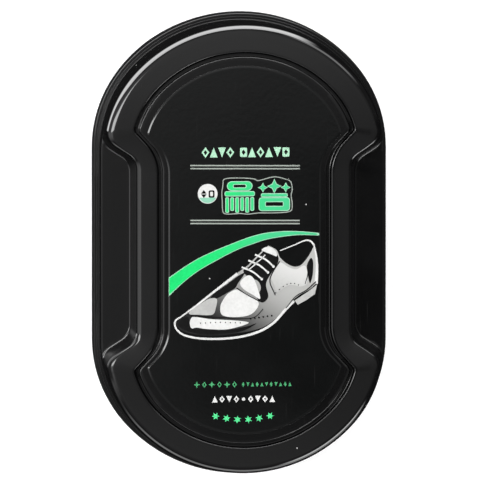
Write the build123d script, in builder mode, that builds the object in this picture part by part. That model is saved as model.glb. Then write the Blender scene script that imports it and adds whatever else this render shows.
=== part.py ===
"""Double-sided shoe polish case: two snap lids over a middle case with a sponge on each side.

Millimetres, +Z up, long axis along Y. The case stands on its lower lid, with the origin
at the middle of the face that it rests on. The lower half mirrors the upper half.
"""

from build123d import *
import math
import os

# Plan outline: straight sides and three-arc ends.
HALF_WIDTH = 40.0
HALF_LENGTH = 63.0
STRAIGHT_HALF = 26.13
SIDE_ARC = 34.5

# Heights. Half of the case is given as heights above the middle plane.
MIDDLE = 22.0
FLANGE_HALF = 1.5
SEAM = 0.1
LABEL_THICKNESS = 0.15

# Lid shell.
LIP_INSET = 0.2
LIP_HEIGHT = 1.3
SKIRT_INSET = 1.0
SKIRT_DRAFT = 3.0
LID_WALL = 1.3
LID_ROOF = 1.8
CORNER_BLEND = 4.5
SHOULDER_RADIUS = 2.2

# Finger grips at the waist of a lid.
GRIP_FLOOR = 14.0
GRIP_FOOT = 30.6
GRIP_TOP = 29.1
GRIP_CORNER = 23.4
GRIP_FLARE = 33.0
GRIP_BLEND = 5.0

# Groove and raised panel on a lid, and the label on the panel.
GROOVE_INSET = 8.7
GROOVE_WAIST = 24.0
PANEL_INSET = 10.6
PANEL_WAIST = 21.9
PANEL_CORNER = 25.6
PANEL_FLARE = 47.0
PANEL_BLEND = 12.0
PANEL_TIP_RADIUS = 1.6
GROOVE_DEPTH = 0.9
PANEL_RISE = 0.1
LABEL_INSET = 12.8
LABEL_WAIST = 20.7
LABEL_TIP_RADIUS = 1.0

# Case: flange, partition, and a tray wall with a ledge on each side.
WEB_HALF = 1.0
TRAY_TOP = 8.0
TRAY_INSET = 2.8
TRAY_WALL = 1.7
TRAY_DRAFT = 4.0
LEDGE_HEIGHT = 4.0
LEDGE_INSET = 6.2
BEAD_HEIGHT = 2.9
BEAD_WIDTH = 1.0
BEAD_PROUD = 0.15
TRAY_LEAD = 0.3

# Contents of a tray.
FELT_INSET = 6.5
FELT_TOP = 3.9
PLATE_INSET = 4.8
PLATE_THICKNESS = 1.2
HOLE_DIAMETER = 3.0
HOLE_PITCH = 7.5
HOLE_COLUMNS = 8
HOLE_ROWS = 13
HOLE_MARGIN = 6.0
FRAME_INSET = 4.75
FRAME_TOP = 8.4
FRAME_LIP_INSET = 8.4
FRAME_LIP_UNDERSIDE = 6.6
FRAME_POCKET_INSET = 6.8
FRAME_CHAMFER = 1.0
SPONGE_FLANGE_INSET = 7.1
SPONGE_FLANGE_TOP = 6.5
SPONGE_INSET = 8.8
SPONGE_TOP = 11.7
SPONGE_ROUND = 2.0

# Snap nibs round the clamp frame and their pockets in the tray wall.
NIB_LENGTH = 6.0
NIB_PROUD = 0.5
NIB_LOW = 6.8
NIB_TALL = 0.8
NIB_SPACING = 18.0
POCKET_GAP = 0.2

HALF_HEIGHT = MIDDLE
PLATFORM = HALF_HEIGHT - PANEL_RISE
PLATE_TOP = LEDGE_HEIGHT + PLATE_THICKNESS
CROWN_ARC_DROP = HALF_LENGTH - STRAIGHT_HALF
SIDE_CENTRE_X = HALF_WIDTH - SIDE_ARC
CROWN_ARC = (
    (HALF_WIDTH**2 + CROWN_ARC_DROP**2 - 2 * HALF_WIDTH * SIDE_ARC)
    / (2 * (CROWN_ARC_DROP - SIDE_ARC))
)
CROWN_CENTRE_Y = HALF_LENGTH - CROWN_ARC
CENTRE_ANGLE = math.atan2(STRAIGHT_HALF - CROWN_CENTRE_Y, SIDE_CENTRE_X)
LID_RIM = FLANGE_HALF + SEAM
BEYOND = 60.0


def level(height):
    """Return the horizontal plane at a height above the middle plane."""
    return Plane.XY.offset(MIDDLE + height)


def stadium(inset):
    """Draw the plan outline of the case, moved inwards by an inset."""
    side = HALF_WIDTH - inset
    end = HALF_LENGTH - inset
    reach = CROWN_ARC - inset
    joint_x = reach * math.cos(CENTRE_ANGLE)
    joint_y = CROWN_CENTRE_Y + reach * math.sin(CENTRE_ANGLE)
    with BuildSketch(mode=Mode.PRIVATE) as outline:
        with BuildLine():
            wall = Line((side, 0), (side, STRAIGHT_HALF))
            bend = TangentArc(wall @ 1, (joint_x, joint_y), tangent=wall % 1)
            TangentArc(bend @ 1, (0, end), tangent=bend % 1)
            mirror(about=Plane.YZ)
            mirror(about=Plane.XZ)
        make_face()
    return outline.sketch


def bites(waist, corner, flare, blend):
    """Draw the two waist cut-outs: straight beside the waist, flared outwards at both ends."""
    spread = corner + (BEYOND - waist) * math.tan(math.radians(flare))
    with BuildSketch(mode=Mode.PRIVATE) as cutouts:
        with BuildLine():
            Polyline(
                (waist, -corner),
                (waist, corner),
                (BEYOND, spread),
                (BEYOND, -spread),
                close=True,
            )
        make_face()
        fillet(cutouts.vertices().group_by(Axis.X)[0], radius=blend)
        mirror(about=Plane.YZ)
    return cutouts.sketch


def hourglass(inset, waist, tip_radius):
    """Draw the waisted outline shared by the groove, the panel and the label."""
    blank = stadium(inset)
    cutouts = bites(waist, PANEL_CORNER, PANEL_FLARE, PANEL_BLEND)
    with BuildSketch(mode=Mode.PRIVATE) as outline:
        add(blank)
        add(cutouts, mode=Mode.SUBTRACT)
        tips = outline.vertices().group_by(Axis.X)
        fillet(tips[0] + tips[-1], radius=tip_radius)
    return outline.sketch


def lid_form(wall, roof):
    """Make the solid form of the upper lid, moved inwards by a wall and a roof thickness."""
    skirt = stadium(SKIRT_INSET + wall)
    rise = PLATFORM - GRIP_FLOOR + wall
    inward = rise * (GRIP_FOOT - GRIP_TOP) / (PLATFORM - GRIP_FLOOR)
    foot = bites(GRIP_FOOT - wall, GRIP_CORNER, GRIP_FLARE, GRIP_BLEND)
    brow = bites(GRIP_FOOT - wall - inward, GRIP_CORNER + inward, GRIP_FLARE, GRIP_BLEND)
    with BuildPart() as form:
        with BuildSketch(level(LID_RIM)):
            add(skirt)
        extrude(amount=PLATFORM - roof - LID_RIM, taper=SKIRT_DRAFT)
        for side in (0, -1):
            with BuildSketch(level(GRIP_FLOOR - wall)):
                add(foot.faces().sort_by(Axis.X)[side])
            with BuildSketch(level(PLATFORM)):
                add(brow.faces().sort_by(Axis.X)[side])
            loft(ruled=True, mode=Mode.SUBTRACT)
    return form.part


def snap_spots(inset):
    """Place the snaps: three on each straight side and one at the middle of each end."""
    side = HALF_WIDTH - inset
    end = HALF_LENGTH - inset
    spots = [Location((side * way, NIB_SPACING * step)) for way in (-1, 1) for step in (-1, 0, 1)]
    spots += [Location((0, end * way, 0), (0, 0, 90)) for way in (-1, 1)]
    return spots


# Upper lid: skirt and platform, hollowed, with a lip round the rim and a grooved panel on top.
lid_outside = lid_form(0, 0)
lid_inside = lid_form(LID_WALL, LID_ROOF)
lip_outline = stadium(LIP_INSET)
groove_top = hourglass(GROOVE_INSET, GROOVE_WAIST, PANEL_TIP_RADIUS)
groove_bottom = hourglass(PANEL_INSET, PANEL_WAIST, PANEL_TIP_RADIUS)

with BuildPart() as upper_lid:
    add(lid_outside)
    grip_ends = upper_lid.edges().filter_by(GeomType.BSPLINE).group_by(SortBy.DISTANCE)[-1]
    fillet(grip_ends, radius=CORNER_BLEND)
    fillet(upper_lid.faces().sort_by(Axis.Z)[-1].edges(), radius=SHOULDER_RADIUS)
    with BuildSketch(level(LID_RIM)):
        add(lip_outline)
    extrude(amount=LIP_HEIGHT)
    add(lid_inside, mode=Mode.SUBTRACT)
    with BuildSketch(level(PLATFORM)):
        add(groove_top)
    with BuildSketch(level(PLATFORM - GROOVE_DEPTH)):
        add(groove_bottom)
    loft(ruled=True, mode=Mode.SUBTRACT)
    with BuildSketch(level(PLATFORM - GROOVE_DEPTH)):
        add(groove_bottom)
    extrude(amount=GROOVE_DEPTH + PANEL_RISE)
upper_lid.part.label = "upper_lid"

# Lower lid: the same moulding turned over.
with BuildPart() as lower_lid:
    mirror(upper_lid.part, about=level(0))
lower_lid.part.label = "lower_lid"

# Label stuck on the panel of the upper lid.
label_outline = hourglass(LABEL_INSET, LABEL_WAIST, LABEL_TIP_RADIUS)
with BuildPart() as upper_label:
    with BuildSketch(level(HALF_HEIGHT)):
        add(label_outline)
    extrude(amount=LABEL_THICKNESS)
upper_label.part.label = "upper_label"

# Case body: one moulding with a flange, a partition and a tray on each side of it.
flange_outline = stadium(0)
tray_outline = stadium(TRAY_INSET)
bead_outline = stadium(TRAY_INSET - BEAD_PROUD)
tray_opening = stadium(TRAY_INSET + TRAY_WALL)
well_opening = stadium(LEDGE_INSET)
with BuildPart() as tray_half:
    with BuildSketch(level(0)):
        add(flange_outline)
    extrude(amount=FLANGE_HALF)
    with BuildSketch(level(FLANGE_HALF)):
        add(tray_outline)
    extrude(amount=TRAY_TOP - FLANGE_HALF, taper=TRAY_DRAFT)
    chamfer(tray_half.faces().sort_by(Axis.Z)[-1].edges(), length=TRAY_LEAD)
    with BuildSketch(level(BEAD_HEIGHT)):
        add(bead_outline)
    extrude(amount=BEAD_WIDTH)
    with BuildSketch(level(LEDGE_HEIGHT)):
        add(tray_opening)
    extrude(amount=TRAY_TOP - LEDGE_HEIGHT, mode=Mode.SUBTRACT)
    with BuildSketch(level(WEB_HALF)):
        add(well_opening)
    extrude(amount=LEDGE_HEIGHT - WEB_HALF, mode=Mode.SUBTRACT)
    with BuildSketch(level(NIB_LOW - POCKET_GAP)):
        with Locations(*snap_spots(TRAY_INSET + TRAY_WALL)):
            Rectangle(2 * NIB_PROUD, NIB_LENGTH + 2 * POCKET_GAP)
    extrude(amount=NIB_TALL + 2 * POCKET_GAP, mode=Mode.SUBTRACT)

with BuildPart() as case_body:
    add(tray_half.part)
    mirror(about=level(0))
case_body.part.label = "case_body"

# Reservoir felt: the soaked pad in the well of a tray.
felt_outline = stadium(FELT_INSET)
with BuildPart() as upper_reservoir_felt:
    with BuildSketch(level(WEB_HALF)):
        add(felt_outline)
    extrude(amount=FELT_TOP - WEB_HALF)
upper_reservoir_felt.part.label = "upper_reservoir_felt"

with BuildPart() as lower_reservoir_felt:
    mirror(upper_reservoir_felt.part, about=level(0))
lower_reservoir_felt.part.label = "lower_reservoir_felt"

# Perforated plate: rests on the ledge and meters the polish into the sponge.
plate_outline = stadium(PLATE_INSET)
hole_zone = stadium(PLATE_INSET + HOLE_MARGIN).face()
hole_grid = GridLocations(HOLE_PITCH, HOLE_PITCH, HOLE_COLUMNS, HOLE_ROWS)
holes = [spot for spot in hole_grid if hole_zone.is_inside(spot.position)]
with BuildPart() as upper_perforated_plate:
    with BuildSketch(level(LEDGE_HEIGHT)):
        add(plate_outline)
        with Locations(*holes):
            Circle(HOLE_DIAMETER / 2, mode=Mode.SUBTRACT)
    extrude(amount=PLATE_THICKNESS)
upper_perforated_plate.part.label = "upper_perforated_plate"

with BuildPart() as lower_perforated_plate:
    mirror(upper_perforated_plate.part, about=level(0))
lower_perforated_plate.part.label = "lower_perforated_plate"

# Sponge: a thin flange that the clamp frame holds, and a rounded pad that stands out of it.
sponge_flange = stadium(SPONGE_FLANGE_INSET)
sponge_pad = stadium(SPONGE_INSET)
with BuildPart() as upper_sponge:
    with BuildSketch(level(PLATE_TOP)):
        add(sponge_flange)
    extrude(amount=SPONGE_FLANGE_TOP - PLATE_TOP)
    with BuildSketch(level(PLATE_TOP)):
        add(sponge_pad)
    extrude(amount=SPONGE_TOP - PLATE_TOP)
    fillet(upper_sponge.faces().sort_by(Axis.Z)[-1].edges(), radius=SPONGE_ROUND)
upper_sponge.part.label = "upper_sponge"

with BuildPart() as lower_sponge:
    mirror(upper_sponge.part, about=level(0))
lower_sponge.part.label = "lower_sponge"

# Clamp frame: a ring over the edge of the sponge, with nibs that click into the tray wall.
frame_outline = stadium(FRAME_INSET)
frame_opening = stadium(FRAME_LIP_INSET)
frame_pocket = stadium(FRAME_POCKET_INSET)
with BuildPart() as upper_clamp_frame:
    with BuildSketch(level(PLATE_TOP)):
        add(frame_outline)
    extrude(amount=FRAME_TOP - PLATE_TOP)
    with BuildSketch(level(PLATE_TOP)):
        add(frame_opening)
    extrude(amount=FRAME_TOP - PLATE_TOP, mode=Mode.SUBTRACT)
    lip_edges = upper_clamp_frame.faces().sort_by(Axis.Z)[-1].inner_wires().edges()
    chamfer(lip_edges, length=FRAME_CHAMFER)
    with BuildSketch(level(PLATE_TOP)):
        add(frame_pocket)
    extrude(amount=FRAME_LIP_UNDERSIDE - PLATE_TOP, mode=Mode.SUBTRACT)
    with BuildSketch(level(NIB_LOW)):
        with Locations(*snap_spots(FRAME_INSET)):
            Rectangle(2 * NIB_PROUD, NIB_LENGTH)
    extrude(amount=NIB_TALL)
upper_clamp_frame.part.label = "upper_clamp_frame"

with BuildPart() as lower_clamp_frame:
    mirror(upper_clamp_frame.part, about=level(0))
lower_clamp_frame.part.label = "lower_clamp_frame"

os.makedirs("parts", exist_ok=True)
export_step(upper_lid.part, "parts/upper_lid.step")
export_step(lower_lid.part, "parts/lower_lid.step")
export_step(upper_label.part, "parts/upper_label.step")
export_step(case_body.part, "parts/case_body.step")
export_step(upper_reservoir_felt.part, "parts/upper_reservoir_felt.step")
export_step(lower_reservoir_felt.part, "parts/lower_reservoir_felt.step")
export_step(upper_perforated_plate.part, "parts/upper_perforated_plate.step")
export_step(lower_perforated_plate.part, "parts/lower_perforated_plate.step")
export_step(upper_sponge.part, "parts/upper_sponge.step")
export_step(lower_sponge.part, "parts/lower_sponge.step")
export_step(upper_clamp_frame.part, "parts/upper_clamp_frame.step")
export_step(lower_clamp_frame.part, "parts/lower_clamp_frame.step")
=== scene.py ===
import math

import bmesh
import bpy
import numpy as np
from mathutils import Matrix, Vector, noise


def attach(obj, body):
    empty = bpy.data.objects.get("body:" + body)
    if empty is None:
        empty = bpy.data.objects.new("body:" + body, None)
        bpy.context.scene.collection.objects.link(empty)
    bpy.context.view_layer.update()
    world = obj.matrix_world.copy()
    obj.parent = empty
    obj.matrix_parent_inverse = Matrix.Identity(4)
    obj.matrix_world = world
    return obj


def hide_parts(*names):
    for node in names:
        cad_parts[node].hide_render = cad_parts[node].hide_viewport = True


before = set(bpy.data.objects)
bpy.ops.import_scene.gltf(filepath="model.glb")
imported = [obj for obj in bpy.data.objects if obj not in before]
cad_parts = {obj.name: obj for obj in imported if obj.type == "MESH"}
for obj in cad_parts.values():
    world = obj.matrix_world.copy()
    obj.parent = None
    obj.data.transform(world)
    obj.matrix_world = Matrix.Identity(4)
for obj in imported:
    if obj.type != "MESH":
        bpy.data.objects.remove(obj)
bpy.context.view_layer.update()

# Sizes are millimetres until a mesh is made. Heights are above the middle plane of the case.
MM = 0.001
MIDDLE = 22.0
HALF_WIDTH = 40.0
HALF_LENGTH = 63.0
STRAIGHT_HALF = 26.13
SIDE_ARC = 34.5
SIDE_CENTRE_X = HALF_WIDTH - SIDE_ARC
DROP = HALF_LENGTH - STRAIGHT_HALF
CROWN_ARC = (HALF_WIDTH**2 + DROP**2 - 2 * HALF_WIDTH * SIDE_ARC) / (2 * (DROP - SIDE_ARC))
CROWN_CENTRE_Y = HALF_LENGTH - CROWN_ARC
CENTRE_ANGLE = math.atan2(STRAIGHT_HALF - CROWN_CENTRE_Y, SIDE_CENTRE_X)

# Stations along a quarter of an outline: waist, hollow bend, flare, tip, side arc, crown arc.
WAIST_STEPS, BEND_STEPS, FLARE_STEPS, TIP_STEPS, SIDE_STEPS, CROWN_STEPS = 10, 14, 6, 16, 20, 28
BEFORE_JOINT = WAIST_STEPS + BEND_STEPS + FLARE_STEPS + TIP_STEPS

# Lids: heights, distances in from the rim, drafts and thicknesses.
LID_RIM = 1.6
LIP_INSET = 0.2
LIP_HEIGHT = 1.3
GRIP_FLOOR = 14.0
PLATFORM = 21.9
PANEL_TOP = 22.0
DRAFT = math.tan(math.radians(3.0))
SKIRT_INSET = 1.0
GRIP_WAIST = 30.6
GRIP_CORNER = 23.4
GRIP_DRAFT = 1.5 / (PLATFORM - GRIP_FLOOR)
LID_WALL = 1.3
LID_ROOF = 1.8
SHOULDER_DROP = 0.35
SHOULDER_RADIUS = 1.7
LOBE_EXTRA = 0.5
BEND_CUT = 0.95
GROOVE_DEPTH = 0.9
GROOVE_WIDTH = 1.9
MARGIN_WIDTH = 2.2
LABEL_TOP = 22.15

# The slight crown of a lid: how far it falls at the ends and at the sides, and where it sets in.
DOME_LONG, DOME_HALF_LENGTH = 0.22, 50.0
DOME_WIDE, DOME_HALF_WIDTH = 0.10, 22.0
DOME_START, DOME_BLEND = 16.0, 5.0

# Distance in from the rim, half width at the waist and radius of the tips of the waisted outlines.
GROOVE_OUTER = (8.7, 24.0, 1.6)
GROOVE_INNER = (10.6, 21.9, 1.6)
LABEL_EDGE = (12.8, 20.7, 1.0)

# Soft pads: the heights of their flat faces.
SPONGE_FOOT = 5.24
SPONGE_LEDGE = 6.45
SPONGE_TOP = 11.65
FELT_FOOT = 1.04
FELT_TOP = 3.86


# ---- outlines
def waisted(inset, waist, corner, flare, blend, tip):
    """A quarter of a waisted outline: its points and inward normals, from the waist to the crown."""
    lean = math.radians(flare)
    toe = blend * math.tan((math.pi / 2 - lean) / 2)
    points, normals = [], []

    def add(point, angle, way):
        points.append(point)
        normals.append((way * math.cos(angle), way * math.sin(angle)))

    def sweep(centre, radius, start, end, steps, way):
        for i in range(1, steps + 1):
            a = start + (end - start) * i / steps
            add((centre[0] + radius * math.cos(a), centre[1] + radius * math.sin(a)), a, way)

    for i in range(WAIST_STEPS + 1):
        add((waist, (corner - toe) * i / WAIST_STEPS), math.pi, 1)
    sweep((waist + blend, corner - toe), blend, math.pi, math.pi / 2 + lean, BEND_STEPS, 1)
    start = np.array(points[-1])
    along = np.array((math.cos(lean), math.sin(lean)))
    across = np.array((-math.sin(lean), math.cos(lean)))
    base = start + across * tip - np.array((SIDE_CENTRE_X, STRAIGHT_HALF))
    reach = SIDE_ARC - inset - tip
    half = float(base @ along)
    run = -half + math.sqrt(half**2 - float(base @ base) + reach**2)
    for i in range(1, FLARE_STEPS + 1):
        add(tuple(start + along * run * i / FLARE_STEPS), math.pi / 2 + lean, 1)
    centre = start + across * tip + along * run
    joint = math.atan2(centre[1] - STRAIGHT_HALF, centre[0] - SIDE_CENTRE_X)
    sweep(centre, tip, lean - math.pi / 2, joint, TIP_STEPS, -1)
    side = (SIDE_CENTRE_X, STRAIGHT_HALF)
    sweep(side, SIDE_ARC - inset, joint, CENTRE_ANGLE, SIDE_STEPS, -1)
    sweep((0, CROWN_CENTRE_Y), CROWN_ARC - inset, CENTRE_ANGLE, math.pi / 2, CROWN_STEPS, -1)
    return np.array(points), np.array(normals), joint


def shares_of(points):
    """How far along each station before the joint lies, as a share of the way to the joint."""
    steps = np.linalg.norm(np.diff(points[: BEFORE_JOINT + 1], axis=0), axis=1)
    run = np.concatenate(([0.0], np.cumsum(steps)))
    return run / run[-1]


def stadium(inset, joint, shares):
    """A quarter of the plain outline, with its stations matched to a waisted outline."""
    radius = SIDE_ARC - inset
    total = STRAIGHT_HALF + radius * joint
    points, normals = [], []
    for share in shares:
        run = share * total
        a = max(0.0, (run - STRAIGHT_HALF) / radius)
        height = min(run, STRAIGHT_HALF) + radius * math.sin(a)
        points.append((SIDE_CENTRE_X + radius * math.cos(a), height))
        normals.append((-math.cos(a), -math.sin(a)))
    for i in range(1, SIDE_STEPS + 1):
        a = joint + (CENTRE_ANGLE - joint) * i / SIDE_STEPS
        points.append((SIDE_CENTRE_X + radius * math.cos(a), STRAIGHT_HALF + radius * math.sin(a)))
        normals.append((-math.cos(a), -math.sin(a)))
    for i in range(1, CROWN_STEPS + 1):
        a = CENTRE_ANGLE + (math.pi / 2 - CENTRE_ANGLE) * i / CROWN_STEPS
        reach = CROWN_ARC - inset
        points.append((reach * math.cos(a), CROWN_CENTRE_Y + reach * math.sin(a)))
        normals.append((-math.cos(a), -math.sin(a)))
    return np.array(points), np.array(normals)


def grip_outline(height, wall=0.0):
    """The outline of the raised platform of a lid at a height."""
    rise = height - GRIP_FLOOR
    inward = GRIP_DRAFT * rise
    inset = SKIRT_INSET + wall + (height - LID_RIM) * DRAFT
    return waisted(inset, GRIP_WAIST - wall - inward, GRIP_CORNER + inward, 33.0, 5.0, 4.5)


def hourglass(inset, waist, tip):
    """The outline of the groove, the panel and the label."""
    return waisted(inset, waist, 25.6, 47.0, 12.0, tip)


def rounded(corners, steps):
    """A path through corners (x, h, radius), with each corner rounded to its radius."""
    path = [corners[0][:2]]
    for before, corner, after in zip(corners, corners[1:], corners[2:]):
        c = np.array(corner[:2], float)
        u = np.array(before[:2], float) - c
        v = np.array(after[:2], float) - c
        u, v = u / np.linalg.norm(u), v / np.linalg.norm(v)
        half = math.acos(max(-1.0, min(1.0, float(u @ v)))) / 2
        trim = corner[2] / math.tan(half)
        middle = (u + v) / np.linalg.norm(u + v)
        centre = c + middle * corner[2] / math.sin(half)
        a, b = c + u * trim - centre, c + v * trim - centre
        turn = math.acos(max(-1.0, min(1.0, float(a @ b) / corner[2] ** 2)))
        for i in range(steps + 1):
            t = i / steps
            w = (math.sin((1 - t) * turn) * a + math.sin(t * turn) * b) / math.sin(turn)
            path.append(tuple(centre + w))
    path.append(corners[-1][:2])
    return path


def dome(x, y, height):
    """How far the very slightly crowned top of a lid lies below a flat one."""
    share = np.clip((height - DOME_START) / DOME_BLEND, 0.0, 1.0)
    fall = DOME_LONG * (y / DOME_HALF_LENGTH) ** 2 + DOME_WIDE * (x / DOME_HALF_WIDTH) ** 2
    return height - share * fall


# ---- meshes
def loop_of(points, heights):
    """Turn a quarter ring into a whole ring."""
    q = np.column_stack((points, heights))
    last = len(q) - 1
    left = q[last - 1 :: -1] * (-1, 1, 1)
    low_left = q[1:] * (-1, -1, 1)
    low_right = q[last - 1 : 0 : -1] * (1, -1, 1)
    return np.vstack((q, left, low_left, low_right))


class Shell:
    """A closed surface made of rings, with filled ends."""

    def __init__(self):
        self.verts, self.faces, self.last = [], [], None

    def ring(self, points, heights):
        heights = np.broadcast_to(np.asarray(heights, float), (len(points),))
        loop = loop_of(np.asarray(points), heights)
        start = len(self.verts)
        self.verts.extend(loop.tolist())
        ids = list(range(start, start + len(loop)))
        if self.last is not None:
            n = len(ids)
            self.faces += [
                (self.last[i], self.last[(i + 1) % n], ids[(i + 1) % n], ids[i]) for i in range(n)
            ]
        self.last = ids
        return ids

    def fill(self, ids, columns):
        """Close a ring with rows that run across it from side to side."""
        quarter = len(ids) // 4
        n = len(ids)
        rows = []
        for r in range(2 * quarter + 1):
            right, left = ids[(r - quarter) % n], ids[(3 * quarter - r) % n]
            if right == left:
                rows.append([right])
                continue
            a, b = np.array(self.verts[right]), np.array(self.verts[left])
            row = [right]
            for c in range(1, columns):
                self.verts.append((a + (b - a) * c / columns).tolist())
                row.append(len(self.verts) - 1)
            rows.append(row + [left])
        for low, high in zip(rows, rows[1:]):
            if len(low) == 1:
                self.faces += [(low[0], high[i], high[i + 1]) for i in range(columns)]
            elif len(high) == 1:
                self.faces += [(low[i], high[0], low[i + 1]) for i in range(columns)]
            else:
                self.faces += [(low[i], low[i + 1], high[i + 1], high[i]) for i in range(columns)]

    def build(self, name, domed=True, mirrored=False, bend=None):
        co = np.array(self.verts, float)
        if domed:
            co[:, 2] = dome(co[:, 0], co[:, 1], co[:, 2])
        if bend is not None:
            co = bend(co)
        if mirrored:
            co[:, 2] *= -1
        co[:, 2] += MIDDLE
        return make_object(name, co * MM, self.faces)


def make_object(name, co, faces):
    mesh = bpy.data.meshes.new(name)
    mesh.from_pydata([tuple(v) for v in co], [], faces)
    bm = bmesh.new()
    bm.from_mesh(mesh)
    bmesh.ops.remove_doubles(bm, verts=bm.verts, dist=1e-7)
    bmesh.ops.recalc_face_normals(bm, faces=bm.faces)
    bm.to_mesh(mesh)
    bm.free()
    obj = bpy.data.objects.new(name, mesh)
    bpy.context.scene.collection.objects.link(obj)
    mesh.shade_smooth()
    modifier = obj.modifiers.new("weighted_normals", "WEIGHTED_NORMAL")
    modifier.weight = 50
    return obj


# ---- lid shell
def terrace(shell, low, high, climb, level, edge, foot, tilt, inwards):
    """The step between the skirt and the platform wall: a floor with a rounded edge and foot.

    Where the floor narrows to nothing, its rings are spread evenly so that they don't bunch up.
    """
    points_low, normals_low = low
    points_high, normals_high = high
    mean = normals_low + normals_high
    mean /= np.linalg.norm(mean, axis=1)[:, None]
    width = np.maximum(0.0, np.sum((points_high - points_low) * mean, axis=1))
    turn = np.arccos(np.clip(1 - width / (edge + foot), 0.0, 1.0))
    share = np.clip(width, 0.0, 1.0)
    share = share * share * (3 - 2 * share)
    floor_high = level + width * tilt
    rings = []
    steps = 7
    for i in range(steps + 1):
        a = turn * i / steps
        h = level - edge * np.sin(turn) + edge * np.sin(a)
        even = level - edge + edge * i / steps
        h = share * h + (1 - share) * even
        inset = edge * (1 - np.cos(a)) + (h - level) * DRAFT
        rings.append((points_low + normals_low * inset[:, None], h))
    first = rings[-1]
    upper = []
    for i in range(steps + 1):
        a = turn * (1 - i / steps)
        h = floor_high + foot * np.sin(turn) - foot * np.sin(a)
        even = level + foot * i / steps
        h = share * h + (1 - share) * even
        shift = climb * (h - level)[:, None]
        upper.append((points_high + shift - normals_high * (foot * (1 - np.cos(a)))[:, None], h))
    for t in (0.33, 0.67):
        rings.append(
            (first[0] + (upper[0][0] - first[0]) * t, first[1] + (upper[0][1] - first[1]) * t)
        )
    rings += upper
    for points, heights in reversed(rings) if inwards else rings:
        shell.ring(points, heights)


def skirt(height, joint, shares, wall=0.0):
    """The outline of the drafted skirt at a height."""
    return stadium(SKIRT_INSET + wall + (height - LID_RIM) * DRAFT, joint, shares)


def lid_inside(shell, joint, shares):
    """Roof, corner, wall, the underside of the grips and the inner face of the skirt."""
    roof = PLATFORM - LID_ROOF
    inner_floor = GRIP_FLOOR - LID_WALL
    low, low_normals, inner_joint = grip_outline(inner_floor, LID_WALL)
    high, high_normals, _ = grip_outline(roof, LID_WALL)
    climb = (high - low) / (roof - inner_floor)
    corner, steps = 0.7, 4
    first = None
    for i in range(steps + 1):
        a = math.pi / 2 * (1 - i / steps)
        inset, drop = corner * (1 - math.cos(a)), corner * (1 - math.sin(a))
        ring = shell.ring(high - climb * drop + high_normals * inset, roof - drop)
        first = first or ring
    shell.fill(first, 6)
    outer = skirt(inner_floor, inner_joint, shares_of(low), LID_WALL)
    terrace(shell, outer, (low, low_normals), climb, inner_floor, 0.5, 0.5, 0.0, True)
    shell.ring(skirt(LID_RIM + 0.25, joint, shares, LID_WALL)[0], LID_RIM + 0.25)
    shell.ring(skirt(LID_RIM, joint, shares, LID_WALL - 0.08)[0], LID_RIM + 0.06)
    shell.ring(skirt(LID_RIM, joint, shares, LID_WALL - 0.25)[0], LID_RIM)


def lid_lip(shell, joint, shares):
    """The lip round the rim and the foot of the skirt."""
    lip_top = LID_RIM + LIP_HEIGHT
    corners = [
        (1.3, LID_RIM, 0),
        (LIP_INSET, LID_RIM, 0.1),
        (LIP_INSET, lip_top, 0.3),
        (SKIRT_INSET + 1.3 * DRAFT, lip_top, 0.12),
        (SKIRT_INSET + 1.8 * DRAFT, lip_top + 0.5, 0),
    ]
    for inset, h in rounded(corners, 5):
        shell.ring(stadium(inset, joint, shares)[0], h)
    shell.ring(skirt(8.0, joint, shares)[0], 8.0)


def lid_shoulder(shell, wall, n, climb, groove):
    """The rounded shoulder from the platform wall to the slope that rises to the groove."""
    slope = np.sum(climb * n, axis=1)
    sideways = climb - n * slope[:, None]
    lean = np.arctan(slope)
    tilt = np.arctan(SHOULDER_DROP / np.linalg.norm(groove - wall, axis=1))
    past_bend = np.arange(len(n)) - (WAIST_STEPS + BEND_STEPS)
    ramp = np.clip(past_bend / (FLARE_STEPS + TIP_STEPS), 0, 1)
    tight = np.exp(-(((past_bend - 1) / 7.0) ** 2))
    radius = SHOULDER_RADIUS + LOBE_EXTRA * ramp * ramp * (3 - 2 * ramp) - BEND_CUT * tight
    lift = radius + SHOULDER_DROP * np.cos(tilt)
    scale = -np.cos(lean + tilt)
    centre_in = (-radius * np.cos(tilt) + np.sin(lean) * lift) / scale
    centre_up = (np.cos(lean) * lift - np.sin(tilt) * radius) / scale
    steps = 12
    for i in range(steps + 1):
        a = lean + (math.pi / 2 - tilt - lean) * i / steps
        inset = centre_in - radius * np.cos(a)
        h = PLATFORM + centre_up + radius * np.sin(a)
        spot = wall + sideways * (h - PLATFORM)[:, None] + n * inset[:, None]
        shell.ring(spot, h)
    return spot, h


def lid_panel(shell, wall, groove, edge_spot, edge_height):
    """The top of the platform, the groove, the edge of the panel and the panel."""
    groove_inner = hourglass(*GROOVE_INNER)[0]
    label_edge = hourglass(*LABEL_EDGE)[0]
    groove_floor = PLATFORM - GROOVE_DEPTH
    corners = [
        (-0.5, PLATFORM - 0.5 * SHOULDER_DROP / 5.5, 0),
        (0.25, PLATFORM, 0.35),
        (0.75, groove_floor, 0.25),
        (1.55, groove_floor, 0.15),
        (1.75, PANEL_TOP, 0.26),
        (2.7, PANEL_TOP, 0),
    ]
    profile = rounded(corners, 6)
    face = np.linalg.norm(groove - wall, axis=1)
    end = groove + (wall - groove) * (0.5 / face)[:, None]
    for t in (0.3, 0.6):
        height = edge_height + (profile[0][1] - edge_height) * t
        shell.ring(edge_spot + (end - edge_spot) * t, height)
    for x, h in profile:
        if x < 0:
            spot = groove + (wall - groove) * (-x / face)[:, None]
        elif x < GROOVE_WIDTH:
            spot = groove + (groove_inner - groove) * x / GROOVE_WIDTH
        else:
            spot = groove_inner + (label_edge - groove_inner) * (x - GROOVE_WIDTH) / MARGIN_WIDTH
        ids = shell.ring(spot, h)
    shell.fill(ids, 24)


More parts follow.
